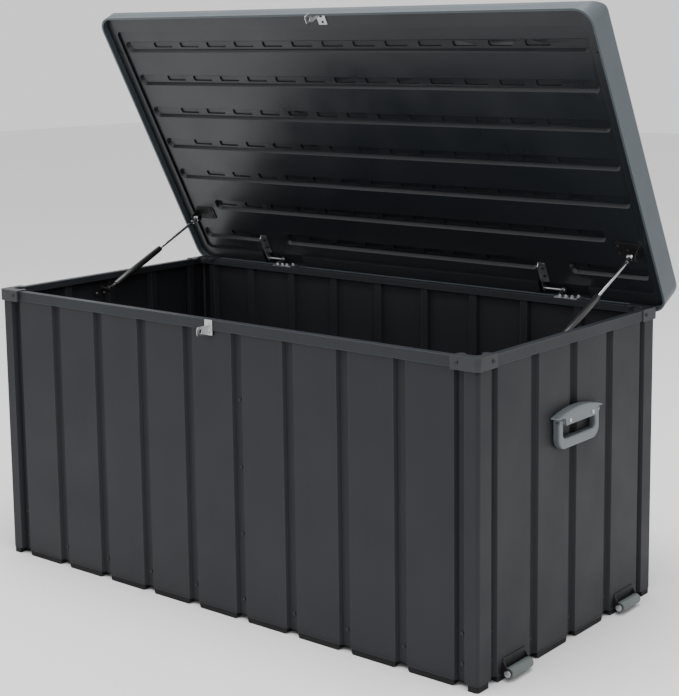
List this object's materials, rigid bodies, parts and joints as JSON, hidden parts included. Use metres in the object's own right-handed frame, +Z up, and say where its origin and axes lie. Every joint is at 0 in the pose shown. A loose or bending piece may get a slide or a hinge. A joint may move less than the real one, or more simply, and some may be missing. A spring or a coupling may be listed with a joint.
{
  "type": "deck storage box",
  "caption": "Free-standing outdoor storage box with ribbed steel walls, a hinged moulded lid on gas struts, drop handles, a hasp and end rollers.",
  "frame": {"origin": "centre of the bounding box in plan, on the ground plane, with the lid open", "axes": "+X along the long front towards the end with the rollers, +Y from the front towards the hinges, +Z up"},
  "size_m": [1.412, 0.7692, 1.2917],
  "materials": {
    "wall_steel": "satin, powder coated",
    "floor_steel": "satin, powder coated",
    "rim_steel": "satin, powder coated",
    "cap_resin": "fine moulded grain",
    "base_resin": "fine moulded grain",
    "lid_resin": "satin moulded",
    "liner_resin": "satin moulded",
    "zinc": "zinc plated",
    "bracket_black": "semi-gloss black",
    "screw_painted": "painted",
    "strut_paint": "semi-gloss black",
    "strut_chrome": "polished",
    "handle_resin": "semi-gloss moulded",
    "roller_resin": "smooth moulded"
  },
  "bodies": {
    "box": {"base_rail_front": "base_resin", "base_rail_rear": "base_resin", "base_rail_left": "base_resin", "base_rail_right": "base_resin", "base_corner_front_left": "base_resin", "base_corner_front_right": "base_resin", "base_corner_rear_left": "base_resin", "base_corner_rear_right": "base_resin", "floor_panel": "floor_steel", "wall_front_left": "wall_steel", "wall_front_right": "wall_steel", "wall_rear_left": "wall_steel", "wall_rear_right": "wall_steel", "wall_left": "wall_steel", "wall_right": "wall_steel", "post_front_left": "wall_steel", "post_front_right": "wall_steel", "post_rear_left": "wall_steel", "post_rear_right": "wall_steel", "rim_rail_front": "rim_steel", "rim_rail_rear": "rim_steel", "rim_rail_left": "rim_steel", "rim_rail_right": "rim_steel", "rim_cap_front_left": "cap_resin", "rim_cap_front_right": "cap_resin", "rim_cap_rear_left": "cap_resin", "rim_cap_rear_right": "cap_resin", "wall_screws": "screw_painted", "rim_screws": "screw_painted", "hasp_screws": "zinc", "body_hasp": "zinc", "hinge_base_left": "zinc", "hinge_base_right": "zinc", "hinge_bolts": "zinc", "strut_wall_bracket_left": "bracket_black", "strut_wall_bracket_right": "bracket_black", "strut_wall_screws": "zinc", "handle_bracket_left": "handle_resin", "handle_bracket_right": "handle_resin", "handle_screws": "zinc", "roller_bracket_front": "bracket_black", "roller_bracket_rear": "bracket_black", "roller_axles": "zinc"},
    "lid": {"lid_shell": "lid_resin", "lid_liner": "liner_resin", "lid_hasp": "zinc", "hinge_arm_left": "zinc", "hinge_arm_right": "zinc", "hinge_pins": "zinc", "strut_lid_bracket_left": "bracket_black", "strut_lid_bracket_right": "bracket_black", "lid_screws": "screw_painted"},
    "strut_rod_left": {"strut_rod_left": "strut_chrome"},
    "strut_tube_left": {"strut_tube_left": "strut_paint"},
    "handle_bail_left": {"handle_bail_left": "handle_resin"},
    "strut_rod_right": {"strut_rod_right": "strut_chrome"},
    "strut_tube_right": {"strut_tube_right": "strut_paint"},
    "handle_bail_right": {"handle_bail_right": "handle_resin"},
    "roller_front": {"roller_front": "roller_resin"},
    "roller_rear": {"roller_rear": "roller_resin"}
  },
  "joints": [
    {"name": "lid_hinge", "type": "hinge", "parent": "box", "child": "lid", "pos_m": [0, 0.33838, 0.654], "axis": [1, 0, 0], "range_deg": [0, 62], "stiffness_Nm_per_rad": 6.5, "springref_deg": -171.89},
    {"name": "strut_ball_left", "type": "hinge", "parent": "lid", "child": "strut_rod_left", "pos_m": [-0.65, 0.26204, 0.75498], "axis": [1, 0, 0], "range_deg": [-81.3, 0]},
    {"name": "strut_slide_left", "type": "slide", "parent": "strut_rod_left", "child": "strut_tube_left", "axis": [0, -0.9049, -0.4257], "range_m": [-0.0805, 0]},
    {"name": "strut_ball_right", "type": "hinge", "parent": "lid", "child": "strut_rod_right", "pos_m": [0.65, 0.26204, 0.75498], "axis": [1, 0, 0], "range_deg": [-81.3, 0]},
    {"name": "strut_slide_right", "type": "slide", "parent": "strut_rod_right", "child": "strut_tube_right", "axis": [0, -0.9049, -0.4257], "range_m": [-0.0805, 0]},
    {"name": "handle_swing_left", "type": "hinge", "parent": "box", "child": "handle_bail_left", "pos_m": [-0.6905, -0.02362, 0.473], "axis": [0, 1, 0], "range_deg": [0, 90]},
    {"name": "handle_swing_right", "type": "hinge", "parent": "box", "child": "handle_bail_right", "pos_m": [0.6905, -0.02362, 0.473], "axis": [0, -1, 0], "range_deg": [0, 90]},
    {"name": "roller_spin_front", "type": "hinge", "parent": "box", "child": "roller_front", "pos_m": [0.695, -0.23812, 0.016], "axis": [0, 1, 0], "continuous": true},
    {"name": "roller_spin_rear", "type": "hinge", "parent": "box", "child": "roller_rear", "pos_m": [0.695, 0.19088, 0.016], "axis": [0, 1, 0], "continuous": true}
  ],
  "couplings": [
    {"joint": "strut_ball_left", "follows": "lid_hinge", "ratio": -1.3102},
    {"joint": "strut_slide_left", "follows": "lid_hinge", "m_per_rad": -0.074386},
    {"joint": "strut_ball_right", "follows": "lid_hinge", "ratio": -1.3102},
    {"joint": "strut_slide_right", "follows": "lid_hinge", "m_per_rad": -0.074386}
  ]
}
